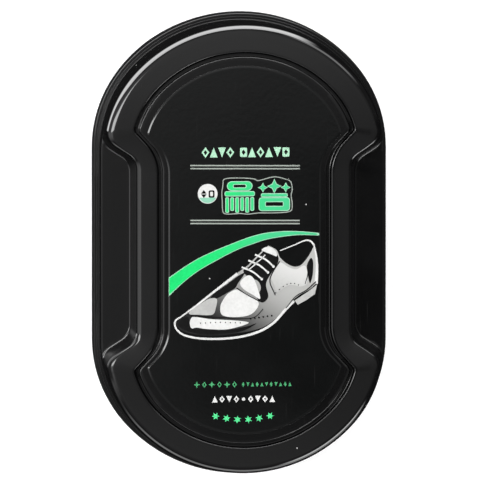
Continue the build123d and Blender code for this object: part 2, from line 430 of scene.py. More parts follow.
def make_lid(name, mirrored):
    """A lid as one closed shell, from the inside of its roof over the rim to the raised panel."""
    shell = Shell()
    foot, foot_normals, joint = grip_outline(GRIP_FLOOR)
    shares = shares_of(foot)
    wall, wall_normals, _ = grip_outline(PLATFORM)
    climb = (wall - foot) / (PLATFORM - GRIP_FLOOR)
    groove = hourglass(*GROOVE_OUTER)[0]
    lid_inside(shell, joint, shares)
    lid_lip(shell, joint, shares)
    outer = skirt(GRIP_FLOOR, joint, shares)
    terrace(shell, outer, (foot, foot_normals), climb, GRIP_FLOOR, 0.2, 0.35, 0.026, False)
    edge_spot, edge_height = lid_shoulder(shell, wall, wall_normals, climb, groove)
    lid_panel(shell, wall, groove, edge_spot, edge_height)
    return shell.build(name, mirrored=mirrored)


def make_label(name):
    """The film on the panel, with a rolled edge."""
    edge, normals, _ = hourglass(*LABEL_EDGE)
    shell = Shell()
    bottom = shell.ring(edge + normals * 0.1, PANEL_TOP + 0.004)
    shell.fill(bottom, 24)
    profile = rounded(
        [
            (0.1, PANEL_TOP + 0.004, 0),
            (0.0, PANEL_TOP + 0.004, 0.02),
            (0.02, PANEL_TOP + 0.04, 0.02),
            (0.42, LABEL_TOP, 0.3),
            (0.8, LABEL_TOP, 0),
        ],
        5,
    )[1:]
    for x, h in profile:
        top = shell.ring(edge + normals * x, h)
    shell.fill(top, 24)
    return shell.build(name)


# ---- sponge and felt
def pad_outline(inset):
    """The plain outline of a tray's contents, with evenly spaced stations."""
    return stadium(inset, 0.5, np.linspace(0.0, 1.0, 64))[0]


def pitted(depth, pitch, wave, floor, seed):
    """Dent the upward faces of a pad with open pores of two sizes and let it swell and sag a little."""

    def bend(co):
        for v in co:
            if v[2] < floor:
                continue
            here = Vector((v[0] + seed, v[1] - seed, v[2]))
            cell = noise.voronoi(here / pitch)[0]
            small = noise.voronoi(here / (0.45 * pitch) + Vector((7, 3, 5)))[0]
            pore = max(0.0, 1.0 - 2.1 * cell[0]) + 0.4 * max(0.0, 1.0 - 2.2 * small[0])
            v[2] -= depth * pore + wave * (0.5 + 0.5 * noise.noise(here / 9.0))
        return co

    return bend


def make_sponge(name, mirrored):
    """A sponge with a flange under the clamp frame and open pores on its crown."""
    shell = Shell()
    ids = shell.ring(pad_outline(7.6), SPONGE_FOOT)
    shell.fill(ids, 6)
    ledge = [
        (7.6, SPONGE_FOOT, 0),
        (7.15, SPONGE_FOOT, 0.25),
        (7.15, SPONGE_LEDGE, 0.35),
        (8.9, SPONGE_LEDGE, 0.3),
        (8.9, 7.4, 0),
    ]
    for inset, h in rounded(ledge, 4)[1:]:
        shell.ring(pad_outline(inset), h)
    side = [(8.9, 7.4, 0), (9.0, SPONGE_TOP - 0.2, 2.0), (13.0, SPONGE_TOP, 0)]
    for inset, h in rounded(side, 12)[1:]:
        ids = shell.ring(pad_outline(inset), h)
    shell.fill(ids, 84)
    return shell.build(name, domed=False, mirrored=mirrored, bend=pitted(0.34, 1.5, 0.28, 9.8, 3.0))


def make_felt(name, mirrored):
    """A flat felt with a faintly rough top."""
    shell = Shell()
    ids = shell.ring(pad_outline(7.2), FELT_FOOT)
    shell.fill(ids, 6)
    side = [(7.2, FELT_FOOT, 0), (6.6, FELT_FOOT, 0.3), (6.6, FELT_TOP - 0.02, 0.6), (8.2, FELT_TOP, 0)]
    for inset, h in rounded(side, 5)[1:]:
        ids = shell.ring(pad_outline(inset), h)
    shell.fill(ids, 70)
    return shell.build(name, domed=False, mirrored=mirrored, bend=pitted(0.08, 1.1, 0.12, 3.3, 8.0))


# ---- printed patterns
def between_points(a, b, c, d, t):
    """A point on a smooth line from b to c, where a comes before them and d after."""
    return 0.5 * (2 * b + (c - a) * t + (2 * a - 5 * b + 4 * c - d) * t**2 + (3 * b - a - 3 * c + d) * t**3)


def smooth_line(points, count=12):
    """A smooth line through a few points."""
    p = [np.array(q, float) for q in points]
    p = [2 * p[0] - p[1]] + p + [2 * p[-1] - p[-2]]
    line = []
    for a, b, c, d in zip(p, p[1:], p[2:], p[3:]):
        line += [between_points(a, b, c, d, i / count) for i in range(count)]
    line.append(p[-2])
    return [tuple(q) for q in line]


def stroke(points, width, end_width=None, count=10):
    """The outline of a line drawn with a pen that may taper."""
    line = np.array(smooth_line(points, count) if len(points) > 2 else points, float)
    end_width = width if end_width is None else end_width
    tangent = np.gradient(line, axis=0)
    tangent /= np.linalg.norm(tangent, axis=1)[:, None]
    side = np.column_stack((-tangent[:, 1], tangent[:, 0]))
    half = np.linspace(width, end_width, len(line))[:, None] / 2
    return [tuple(q) for q in np.vstack((line + side * half, (line - side * half)[::-1]))]


def disc_outline(x, y, radius, count=48):
    return [
        (x + radius * math.cos(2 * math.pi * i / count), y + radius * math.sin(2 * math.pi * i / count))
        for i in range(count)
    ]


def ring_outline(points, width, count=8):
    """A closed line drawn with a pen: its outer and its inner outline."""
    p = [np.array(q, float) for q in points]
    line = []
    for k in range(len(p)):
        a, b, c, d = p[k - 1], p[k], p[(k + 1) % len(p)], p[(k + 2) % len(p)]
        line += [between_points(a, b, c, d, i / count) for i in range(count)]
    line = np.array(line)
    tangent = np.roll(line, -1, axis=0) - np.roll(line, 1, axis=0)
    tangent /= np.linalg.norm(tangent, axis=1)[:, None]
    side = np.column_stack((tangent[:, 1], -tangent[:, 0])) * width / 2
    return [[tuple(q) for q in line + side], [tuple(q) for q in line - side]]


def closed_curve(points, count=8):
    """A smooth closed outline through a few points."""
    return ring_outline(points, 0.0, count)[0]


def soft_box(x, y, width, height, radius, grow=0.0):
    """A box with rounded corners, made larger all round by grow."""
    w, h, r = width / 2 + grow, height / 2 + grow, radius + grow
    r = max(0.02, min(r, w, h))
    points = []
    corners = ((w - r, h - r, 0), (r - w, h - r, 90), (r - w, r - h, 180), (w - r, r - h, 270))
    for cx, cy, start in corners:
        for i in range(6):
            a = math.radians(start + 90 * i / 5)
            points.append((x + cx + r * math.cos(a), y + cy + r * math.sin(a)))
    return points


def star(x, y, radius, points=4, waist=0.34, turn=0.0):
    """A sparkle with a number of points."""
    outline = []
    for i in range(2 * points):
        a = math.pi / 2 + turn + math.pi * i / points
        r = radius if i % 2 == 0 else radius * waist
        outline.append((x + r * math.cos(a), y + r * math.sin(a)))
    return outline


def diamond(x, y, width, height, hole=0.0):
    """A diamond, with a smaller diamond cut out of it."""
    def around(w, h):
        return [(x + w / 2, y), (x, y + h / 2), (x - w / 2, y), (x, y - h / 2)]

    if not hole:
        return around(width, height)
    return [around(width, height), around(width * hole, height * hole)]


def wedge(x, y, width, height, down=False):
    """A triangle that points up or down."""
    half = -height / 2 if down else height / 2
    return [(x - width / 2, y - half), (x + width / 2, y - half), (x, y + half)]


def print_patch(name, shapes, base, thickness, material):
    """A thin printed layer on the label: each shape is an outline, with its holes after it."""
    bm = bmesh.new()
    for shape in shapes:
        outlines = [shape] if isinstance(shape[0][0], (int, float, np.floating)) else shape
        curve = bpy.data.curves.new(name, "CURVE")
        curve.dimensions = "2D"
        curve.fill_mode = "BOTH"
        curve.extrude = thickness * MM / 2
        for outline in outlines:
            spline = curve.splines.new("POLY")
            spline.points.add(len(outline) - 1)
            for point, (x, y) in zip(spline.points, outline):
                point.co = (x * MM, y * MM, 0, 1)
            spline.use_cyclic_u = True
        holder = bpy.data.objects.new(name, curve)
        bpy.context.scene.collection.objects.link(holder)
        bpy.context.view_layer.update()
        mesh = bpy.data.meshes.new_from_object(holder)
        bpy.data.objects.remove(holder)
        bm.from_mesh(mesh)
    for axis, reach in ((0, 20), (1, 32)):
        for cut in np.arange(-reach, reach + 0.1, 4.0):
            plane_co, plane_no = [0, 0, 0], [0, 0, 0]
            plane_co[axis], plane_no[axis] = cut * MM, 1
            bmesh.ops.bisect_plane(
                bm, geom=bm.verts[:] + bm.edges[:] + bm.faces[:], plane_co=plane_co, plane_no=plane_no
            )
    for v in bm.verts:
        height = base + thickness / 2 + v.co.z / MM
        v.co.z = (MIDDLE + float(dome(v.co.x / MM, v.co.y / MM, height))) * MM
    bmesh.ops.remove_doubles(bm, verts=bm.verts, dist=1e-7)
    mesh = bpy.data.meshes.new(name)
    bm.to_mesh(mesh)
    bm.free()
    obj = bpy.data.objects.new(name, mesh)
    bpy.context.scene.collection.objects.link(obj)
    mesh.materials.append(material)
    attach(obj, "upper_cover")


# ---- materials
class Nodes:
    """Short calls for making a node tree."""

    def __init__(self, tree):
        self.tree = tree

    def new(self, kind, inputs=None, **settings):
        node = self.tree.nodes.new("ShaderNode" + kind)
        for key, value in settings.items():
            setattr(node, key, value)
        for key, value in (inputs or {}).items():
            if isinstance(value, bpy.types.NodeSocket):
                self.tree.links.new(value, node.inputs[key])
            else:
                node.inputs[key].default_value = value
        return node

    def math(self, operation, a, b=0.0, clamp=False):
        node = self.new("Math", {0: a, 1: b}, operation=operation)
        node.use_clamp = clamp
        return node.outputs[0]

    def plus(self, a, b, clamp=False):
        return self.math("ADD", a, b, clamp)

    def minus(self, a, b):
        return self.math("SUBTRACT", a, b)

    def times(self, a, b):
        return self.math("MULTIPLY", a, b)

    def larger(self, a, b):
        return self.math("MAXIMUM", a, b)

    def cloud(self, coords, scale, detail=2.0, roughness=0.5):
        settings = {"Vector": coords, "Scale": scale, "Detail": detail, "Roughness": roughness}
        return self.new("TexNoise", settings).outputs[0]

    def band(self, value, start, full, low=0.0, high=1.0):
        """Smooth step from low at start to high at full."""
        flip = full < start
        node = self.new(
            "MapRange",
            {
                0: value,
                1: full if flip else start,
                2: start if flip else full,
                3: high if flip else low,
                4: low if flip else high,
            },
            interpolation_type="SMOOTHSTEP",
        )
        return node.outputs[0]

    def mix(self, share, a, b):
        return self.new("Mix", {0: share, 6: a, 7: b}, data_type="RGBA").outputs[2]


def new_material(name):
    material = bpy.data.materials.new(name)
    material.use_nodes = True
    tree = material.node_tree
    tree.nodes.clear()
    n = Nodes(tree)
    shader = n.new("BsdfPrincipled")
    n.new("OutputMaterial", {"Surface": shader.outputs[0]})
    coords = n.new("TexCoord").outputs["Object"]
    return material, n, shader, coords


def link(n, source, shader, socket):
    n.tree.links.new(source, shader.inputs[socket])


def dull_zones(n, coords):
    """Where a lid is duller: its rim and recesses, and its shoulder at three of the four bends."""
    place = n.new("SeparateXYZ", {0: coords}).outputs
    lift = n.math("ABSOLUTE", n.minus(place[2], MIDDLE * MM))
    across = n.math("ABSOLUTE", place[0])
    along = n.math("ABSOLUTE", place[1])
    rim = n.band(lift, 3.5 * MM, 3.1 * MM)
    side = n.band(across, 25 * MM, 27 * MM)
    grip = n.times(n.band(lift, 14.3 * MM, 14.8 * MM), n.band(lift, 20.4 * MM, 19.0 * MM))
    grip = n.times(n.times(grip, side), n.band(along, 33 * MM, 31 * MM))
    bend = n.larger(n.band(place[1], 0.0, -5 * MM), n.band(place[0], 0.0, 5 * MM))
    for mask in (
        n.band(along, 22 * MM, 24 * MM),
        n.band(along, 37 * MM, 34 * MM),
        side,
        n.band(lift, 17.5 * MM, 19.5 * MM),
        n.band(lift, 21.2 * MM, 20.95 * MM),
    ):
        bend = n.times(bend, mask)
    return n.larger(rim, grip), bend


def glossy_plastic(name, base, rough, peel, dust):
    """Moulded black plastic: faint orange peel, hairline scratches and a little dust."""
    material, n, shader, coords = new_material(name)
    broad = n.cloud(coords, 70.0, 3.0)
    fine = n.cloud(coords, 900.0)
    stretch = {0: coords, "Rotation": (0, 0, 0.6), "Scale": (2600.0, 90.0, 90.0)}
    stretched = n.new("Mapping", stretch).outputs[0]
    scratch = n.cloud(stretched, 1.0, 1.0)
    scratch = n.band(scratch, 0.70, 0.78)
    cells = n.new("TexVoronoi", {"Vector": coords, "Scale": 420.0})
    pick = n.new("SeparateColor", {0: cells.outputs["Color"]})
    speck = n.band(cells.outputs["Distance"], 0.10, 0.06)
    chosen = n.band(pick.outputs[0], 1.0 - dust, 1.0 - dust + 0.001)
    speck = n.times(speck, chosen)
    colour = n.mix(broad, (*[c * 0.8 for c in base], 1), (*[c * 1.25 for c in base], 1))
    colour = n.mix(speck, colour, (0.35, 0.35, 0.34, 1))
    link(n, colour, shader, "Base Color")
    r = n.band(broad, 0.3, 0.7, rough * 0.85, rough * 1.2)
    r = n.plus(r, n.times(scratch, 0.08))
    r = n.plus(r, n.times(speck, 0.5), clamp=True)
    dull, bend = dull_zones(n, coords)
    r = n.plus(r, n.times(n.larger(dull, bend), 0.22), clamp=True)
    link(n, r, shader, "Roughness")
    dim = n.larger(n.times(dull, 0.25), n.times(bend, 0.40))
    link(n, n.minus(0.5, dim), shader, "Specular IOR Level")
    height = n.plus(n.times(fine, peel), n.times(scratch, -0.2))
    bump = n.new("Bump", {"Strength": 0.25, "Distance": 0.00002, "Height": height})
    link(n, bump.outputs[0], shader, "Normal")
    shader.inputs["IOR"].default_value = 1.5
    return material


def ink(name, colour, rough, grain=0.06, fade=None):
    """Screen-printed ink with a very slight grain; fade is (other colour, direction, start, end)."""
    material, n, shader, coords = new_material(name)
    noise_fine = n.cloud(coords, 1500.0)
    wear = n.cloud(coords, 260.0, 4.0)
    share = n.band(n.plus(n.times(noise_fine, 0.5), n.times(wear, 0.5)), 0.35, 0.65)
    low = (*[c * (1 - 2 * grain) for c in colour], 1)
    tone = n.mix(share, low, (*colour, 1))
    if fade:
        other, way, start, end = fade
        dot = n.new("VectorMath", {0: coords, 1: (*way, 0.0)}, operation="DOT_PRODUCT")
        along = dot.outputs["Value"]
        tone = n.mix(n.band(along, start * MM, end * MM), tone, (*other, 1))
    link(n, tone, shader, "Base Color")
    link(n, n.band(noise_fine, 0.3, 0.7, rough * 0.9, rough * 1.1), shader, "Roughness")
    bump = n.new("Bump", {"Strength": 0.2, "Distance": 0.00001, "Height": noise_fine})
    link(n, bump.outputs[0], shader, "Normal")
    return material


def moulded(name, base, rough, scale, depth):
    """Matt or satin moulded plastic with a fine spark-eroded grain."""
    material, n, shader, coords = new_material(name)
    grain = n.cloud(coords, scale, 4.0, 0.6)
    broad = n.cloud(coords, 45.0)
    link(
        n,
        n.mix(broad, (*[c * 0.82 for c in base], 1), (*[min(1.0, c * 1.15) for c in base], 1)),
        shader,
        "Base Color",
    )
    link(n, n.band(grain, 0.25, 0.75, rough * 0.85, rough * 1.15), shader, "Roughness")
    bump = n.new("Bump", {"Strength": 0.4, "Distance": depth, "Height": grain})
    link(n, bump.outputs[0], shader, "Normal")
    return material


def foam(name, light, dark, scale):
    """Open-celled foam: small pores at several sizes, darker towards their bottoms, which is painted shade
    in the cells.
    """
    material, n, shader, coords = new_material(name)
    warp = n.new("TexNoise", {"Vector": coords, "Scale": scale * 0.6, "Detail": 2.0}).outputs[1]
    shift = n.new("VectorMath", {0: warp, 3: 0.0006}, operation="SCALE").outputs[0]
    moved = n.new("VectorMath", {0: coords, 1: shift}).outputs[0]
    large = {"Vector": moved, "Scale": scale, "Smoothness": 0.3}
    cells = n.new("TexVoronoi", large, feature="SMOOTH_F1").outputs[0]
    small = n.new("TexVoronoi", {"Vector": moved, "Scale": scale * 2.3}).outputs[0]
    large_pore_shade = n.times(n.band(cells, 0.15, 0.55), 0.7)
    pores = n.plus(large_pore_shade, n.times(small, 0.5), clamp=True)
    blotch = n.cloud(coords, 60.0, 3.0)
    # Painted shade: the colour goes to the dark tone at the bottom of each pore, where the bump dents it;
    # the blotches below are random tone.
    colour = n.mix(pores, (*dark, 1), (*light, 1))
    colour = n.mix(n.band(blotch, 0.35, 0.75, 0.0, 0.55), colour, (*dark, 1))
    link(n, colour, shader, "Base Color")
    link(n, n.band(blotch, 0.3, 0.7, 0.95, 0.7), shader, "Roughness")
    bump = n.new("Bump", {"Strength": 0.9, "Distance": 0.0004, "Height": pores})
    link(n, bump.outputs[0], shader, "Normal")
    shader.inputs["Sheen Weight"].default_value = 0.15
    return material


# ---- build
lid_black = glossy_plastic("lid_black", (0.0020, 0.0020, 0.0021), 0.07, 0.5, 0.012)
case_black = glossy_plastic("case_black", (0.0030, 0.0030, 0.0032), 0.10, 0.6, 0.004)
label_black = glossy_plastic("label_black", (0.0018, 0.0020, 0.0020), 0.08, 0.9, 0.006)
plate_grey = moulded("plate_grey", (0.30, 0.31, 0.32), 0.45, 1400.0, 0.00002)
frame_black = moulded("frame_black", (0.02, 0.02, 0.021), 0.38, 1600.0, 0.00002)
sponge_foam = foam("sponge_foam", (0.16, 0.15, 0.14), (0.02, 0.02, 0.02), 620.0)
felt_grey = foam("felt_grey", (0.12, 0.115, 0.11), (0.03, 0.03, 0.03), 1500.0)

lids = (("upper_lid_shell", False, "upper_cover"), ("lower_lid_shell", True, "lower_cover"))
for name, mirrored, body in lids:
    shell = make_lid(name, mirrored)
    shell.data.materials.append(lid_black)
    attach(shell, body)
    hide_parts(name.replace("_shell", ""))

label = make_label("label_sheet")
label.data.materials.append(label_black)
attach(label, "upper_cover")
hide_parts("upper_label")


def dress(node, material):
    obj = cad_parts[node]
    for slot in obj.material_slots:
        slot.link = "OBJECT"
        slot.material = material
    if not obj.material_slots:
        obj.data.materials.append(material)


dress("case_body", case_black)
for side in ("upper", "lower"):
    dress(side + "_perforated_plate", plate_grey)
    dress(side + "_clamp_frame", frame_black)
    sponge = make_sponge(side + "_sponge_pad", side == "lower")
    sponge.data.materials.append(sponge_foam)
    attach(sponge, "case")
    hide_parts(side + "_sponge")
    felt = make_felt(side + "_felt_pad", side == "lower")
    felt.data.materials.append(felt_grey)
    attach(felt, "case")
    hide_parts(side + "_reservoir_felt")


# ---- print on the label
PRINT_BASE = LABEL_TOP + 0.006
LAYER = 0.02
pale = ink("ink_pale", (0.28, 0.31, 0.28), 0.2)
pale_mint = ink("ink_pale_mint", (0.30, 0.58, 0.40), 0.2)
heading_ink = ink("ink_heading", (0.36, 0.62, 0.44), 0.2)
badge_mint = ink("ink_badge_mint", (0.22, 0.50, 0.36), 0.2)
white = ink("ink_white", (0.62, 0.62, 0.61), 0.2)
mint = ink("ink_mint", (0.005, 0.58, 0.14), 0.2, fade=((0.045, 0.46, 0.20), (1.0, 0.0), -12.0, 12.0))
dim_mint = ink("ink_dim_mint", (0.05, 0.30, 0.12), 0.25)
black = ink("ink_black", (0.002, 0.002, 0.002), 0.13)
grey = ink("ink_grey", (0.010, 0.010, 0.010), 0.2, fade=((0.36, 0.36, 0.35), (0.55, 0.83), -21.0, -1.0))
leather = ink("ink_leather", (0.40, 0.40, 0.39), 0.2, fade=((0.54, 0.54, 0.53), (0.4, 0.9), -8.0, 2.0))
heel_grey = ink("ink_heel", (0.42, 0.42, 0.41), 0.2)


def print_layer(name, shapes, layer, material):
    print_patch(name, shapes, PRINT_BASE + LAYER * layer, 0.014, material)


# Heading: a row of small diamonds, wedges and squares in two groups.
def heading_mark(kind, x):
    y = 26.72
    marks = {
        "square": [soft_box(x, y, 1.9, 2.5, 0.3), diamond(x, y, 1.1, 1.5)],
        "diamond": diamond(x, y, 2.1, 2.9, 0.48),
        "up": wedge(x, y, 2.1, 2.7),
        "down": wedge(x, y, 2.1, 2.7, True),
    }
    return marks[kind]


heading = []
for start, step, kinds in (
    (-10.65, 2.25, ("diamond", "up", "down", "diamond")),
    (-0.3, 2.3, ("square", "up", "diamond", "up", "down", "square")),
):
    heading += [heading_mark(kind, start + step * i) for i, kind in enumerate(kinds)]
print_layer("print_heading", heading, 0, heading_ink)

# Two double rules, a little out of level as on the printed film.
rules = []
for left, right in ((23.22, 22.97), (22.38, 22.15), (8.30, 8.07), (7.45, 7.22)):
    rules.append(
        [(-14.75, left - 0.18), (14.95, right - 0.18), (14.95, right + 0.18), (-14.75, left + 0.18)]
    )
print_layer("print_rules", rules, 0, pale)

# Badge: a white disc, mint at its foot, with two wedges that point to both faces of the case.
badge_x, badge_y = -10.05, 15.5
print_layer("print_badge", [disc_outline(badge_x, badge_y, 2.68)], 0, white)
foot = [
    (badge_x + 2.5 * math.cos(math.radians(a)), badge_y + 2.5 * math.sin(math.radians(a)))
    for a in range(205, 336, 5)
]
print_layer("print_badge_foot", [foot], 1, badge_mint)
left, right, level = badge_x - 1.05, badge_x + 1.05, badge_y - 0.05
badge_marks = [
    wedge(left, level + 0.6, 1.5, 1.0),
    wedge(left, level - 0.6, 1.5, 1.0, True),
    [soft_box(right, level, 1.6, 2.0, 0.4), soft_box(right, level, 0.8, 1.2, 0.2)],
]
print_layer("print_badge_mark", badge_marks, 2, black)


# Pictograms: a brush over its bristles, and an open tin under a sparkle.
def brush_marks(grow):
    x = -1.35
    marks = [
        [soft_box(x, 17.55, 6.6, 2.3, 1.1, grow), soft_box(x, 17.55, 3.6, 1.05, 0.4, -grow)],
        soft_box(x, 15.45, 7.9, 1.1, 0.35, grow),
    ]
    for i in range(6):
        tall = 3.4 if i % 2 else 3.9
        marks.append(soft_box(x - 3.4 + 1.36 * i, 14.35 - tall / 2, 0.72, tall, 0.2, grow))
    return marks


def tin_marks(grow):
    x = 8.05
    marks = [
        [soft_box(x, 12.55, 8.2, 3.4, 0.7, grow), soft_box(x, 12.6, 5.0, 1.35, 0.4, -grow)],
        soft_box(x, 15.0, 7.0, 0.75, 0.3, grow),
        star(x, 17.45, 1.75 + 1.6 * grow, waist=0.42 + 0.2 * grow),
    ]
    for aside in (-3.1, 3.1):
        marks.append(star(x + aside, 17.1, 1.15 + 1.4 * grow, waist=0.45 + 0.2 * grow))
    return marks


print_layer("print_pictogram_edges", brush_marks(0.16) + tin_marks(0.16), 0, pale_mint)
print_layer("print_pictograms", brush_marks(-0.06) + tin_marks(-0.06), 1, mint)
contour = [
    (-5.4, 19.5), (-1.4, 19.75), (2.3, 19.5), (3.6, 19.0), (5.0, 19.3), (8.1, 20.0), (11.2, 19.3),
    (12.5, 18.6), (12.9, 16.6), (12.6, 14.8), (12.9, 12.6), (12.3, 10.6), (8.0, 10.2), (3.8, 10.2),
    (1.0, 9.9), (-1.4, 10.1), (-4.6, 9.95), (-5.9, 10.6), (-6.1, 13.6), (-6.2, 15.6), (-5.9, 17.8),
]
print_layer("print_contour", [ring_outline(contour, 0.26)], 0, pale)

# Swoosh above the shoe: pale edges under a mint band.
swoosh_top = [
    (-20.6, -7.2), (-15.7, -3.9), (-10.7, -1.1), (-2.5, 2.3), (3.1, 4.2), (8.1, 5.05), (14.0, 5.2),
    (20.2, 4.65),
]
swoosh_low = [
    (20.2, 3.95), (14.0, 4.05), (6.7, 3.1), (2.2, 1.75), (-2.2, 0.1), (-7.5, -2.6), (-12.4, -5.4),
    (-16.3, -8.3), (-20.6, -12.3),
]
print_layer("print_swoosh_edge", [smooth_line(swoosh_top) + smooth_line(swoosh_low)], 0, pale_mint)
inner_top = [(-20.45, -7.4)] + [(x, y - 0.2) for x, y in swoosh_top[1:-1]] + [(19.6, 4.5)]
inner_low = [(19.6, 4.1)] + [(x, y + 0.2) for x, y in swoosh_low[1:-1]] + [(-20.45, -11.8)]
print_layer("print_swoosh", [smooth_line(inner_top) + smooth_line(inner_low)], 1, mint)

# A plain derby shoe, toe to the left.
upper_line = [
    (-18.6, -20.3), (-17.2, -17.9), (-14.5, -15.6), (-11.2, -12.9), (-7.6, -10.2), (-4.2, -7.6),
    (-1.6, -5.8),
]
lace_line = [(-1.6, -5.8), (1.0, -3.9), (3.6, -1.2), (6.4, 1.3)]
rim_line = [
    (6.4, 1.3), (8.6, 0.1), (9.7, -2.1), (11.9, -3.9), (14.0, -4.5), (15.7, -3.7), (17.5, -1.4),
    (18.9, 1.3),
]
back_line = [(18.9, 1.3), (19.45, -1.8), (19.7, -5.2), (19.4, -9.0)]
welt_line = [
    (19.5, -9.0), (17.6, -10.7), (14.6, -12.4), (12.2, -14.6), (9.6, -17.6), (6.0, -20.4), (2.2, -21.8),
    (-3.4, -22.7), (-9.2, -23.1), (-14.2, -22.6), (-17.2, -21.6), (-18.6, -20.1),
]
body = []
for line in (upper_line, lace_line, rim_line, back_line, welt_line):
    body += smooth_line(line)
print_layer("print_shoe_body", [body], 0, grey)

sole = [
    (-17.6, -18.1), (-18.6, -18.8), (-19.0, -20.0), (-18.2, -21.7), (-16.0, -23.1), (-11.8, -23.9),
    (-6.2, -24.0), (-0.6, -23.4), (4.4, -21.9), (8.0, -19.6), (10.8, -16.5), (13.4, -13.8),
]
heel = [(13.6, -13.7), (14.4, -14.9), (16.8, -13.6), (19.1, -12.0), (19.7, -9.4), (17.4, -11.2)]
far_rim = [(9.6, -0.1), (13.2, 1.3), (16.4, 2.6), (17.9, 2.4), (18.9, 1.3)]
print_layer("print_shoe_heel", [heel], 1, heel_grey)
back_edge = [(18.8, 1.5), (19.45, -1.8), (19.65, -5.2), (19.4, -9.2)]
sole_strokes = [stroke(sole, 0.42, 0.7), stroke(far_rim, 0.24, 0.5), stroke(back_edge, 0.35, 0.9)]
print_layer("print_shoe_sole", sole_strokes, 1, white)

shade = [
    closed_curve([
        (-18.2, -19.9), (-16.9, -18.3), (-15.4, -18.0), (-14.9, -19.4), (-14.6, -21.0), (-12.2, -21.4),
        (-5.0, -21.7), (0.4, -20.7), (3.2, -19.9), (-1.0, -22.0), (-9.2, -22.9), (-14.0, -22.3),
        (-17.0, -21.2),
    ]),
    closed_curve([
        (-8.2, -11.5), (-5.0, -9.3), (-1.8, -6.9), (0.0, -6.2), (-1.8, -8.9), (-2.6, -10.2),
        (-4.6, -11.4), (-7.4, -12.9), (-9.2, -12.9),
    ]),
    closed_curve([
        (-0.4, -5.6), (1.2, -4.3), (3.8, -1.6), (6.0, 0.3), (8.2, -0.5), (9.2, -2.2), (8.6, -4.2),
        (7.0, -6.6), (5.8, -9.2), (6.4, -12.6), (4.9, -14.2), (3.4, -13.0), (4.4, -10.2), (3.4, -8.2),
        (1.4, -7.6),
    ]),
    closed_curve([(16.9, -4.2), (18.0, -2.2), (18.6, -3.4), (18.5, -6.6), (17.8, -9.0), (17.3, -7.4)]),
]
print_layer("print_shoe_shade", shade, 1, black)
lights = [
    closed_curve([
        (-14.6, -18.4), (-13.6, -18.0), (-9.4, -18.6), (-4.6, -18.9), (-0.2, -19.3), (1.0, -19.8),
        (-1.8, -20.8), (-5.4, -21.5), (-10.4, -21.3), (-13.0, -20.9), (-14.4, -21.1), (-14.9, -19.8),
    ]),
    closed_curve([
        (-5.6, -13.0), (-4.4, -11.6), (-2.0, -10.6), (0.8, -11.9), (3.8, -14.3), (2.0, -17.2),
        (-1.8, -18.1), (-6.0, -17.6), (-6.6, -15.2),
    ]),
    closed_curve([
        (-1.2, -8.6), (0.8, -6.8), (2.4, -7.6), (3.6, -10.6), (4.2, -13.2), (2.4, -12.2), (-0.4, -10.4),
    ]),
]
lights.append(stroke([
    (-17.9, -18.4), (-15.6, -16.7), (-12.2, -14.2), (-8.4, -11.2), (-4.6, -8.3), (-2.0, -6.3),
], 0.3, 0.75))
print_layer("print_shoe_lights", lights, 2, white)
quarter = closed_curve([
    (7.2, -7.0), (9.4, -3.4), (11.9, -4.6), (14.0, -5.2), (16.2, -4.2), (17.0, -6.0), (16.9, -9.0),
    (15.2, -9.9), (12.2, -9.5), (8.8, -11.4), (8.0, -9.4),
])
toe = closed_curve([
    (-15.2, -17.0), (-12.4, -14.7), (-9.4, -13.0), (-7.6, -13.2), (-7.8, -15.4), (-8.8, -17.4),
    (-12.6, -17.4),
])
print_layer("print_shoe_panels", [quarter, toe], 2, leather)

laces = []
for x, y, reach in ((0.1, -4.3, 4.4), (1.9, -2.5, 4.3), (3.7, -0.9, 4.0)):
    laces.append(stroke([(x - 0.9, y - 0.2), (x + reach * 0.5, y - 1.6), (x + reach, y - 3.4)], 0.5, 0.42))
    laces.append(disc_outline(x + reach + 0.1, y - 3.5, 0.36, 16))
laces.append(closed_curve([(4.6, 0.1), (6.4, 1.0), (8.3, -0.1), (8.7, -1.6), (7.0, -1.0)]))
laces.append(stroke([(0.9, -5.4), (2.7, -3.9), (3.6, -2.9)], 0.3))
laces.append(stroke([(2.9, -3.6), (4.6, -2.2), (5.6, -1.2)], 0.3))
print_layer("print_shoe_laces", laces, 3, white)

seams = [
    stroke([(9.5, -3.0), (7.4, -6.4), (6.9, -8.8), (8.3, -12.2)], 0.3, 0.22),
    stroke([(-2.2, -10.2), (0.6, -12.0), (4.0, -13.9)], 0.32, 0.22),
    stroke([(17.2, -4.4), (17.1, -6.8), (16.4, -9.2)], 0.3, 0.2),
    stroke([
        (-14.6, -17.7), (-11.0, -18.0), (-6.2, -18.2), (-1.8, -18.6), (2.6, -18.2), (5.0, -16.0),
    ], 0.24, 0.2),
    stroke([(19.4, -8.6), (16.8, -10.9), (13.9, -12.6), (11.2, -15.8)], 0.3, 0.2),
]
for i in range(9):
    seams.append(disc_outline(-12.0 + 1.35 * i, -19.5 - 0.05 * abs(i - 4), 0.16, 10))
for i in range(7):
    t = i / 6
    seams.append(disc_outline(8.4 + 6.2 * t, -11.6 + 2.6 * math.sin(2.2 * t), 0.15, 10))
for i in range(6):
    seams.append(disc_outline(1.6 + 1.15 * i, -18.6 + 0.16 * i, 0.24, 12))
print_layer("print_shoe_seams", seams, 4, black)

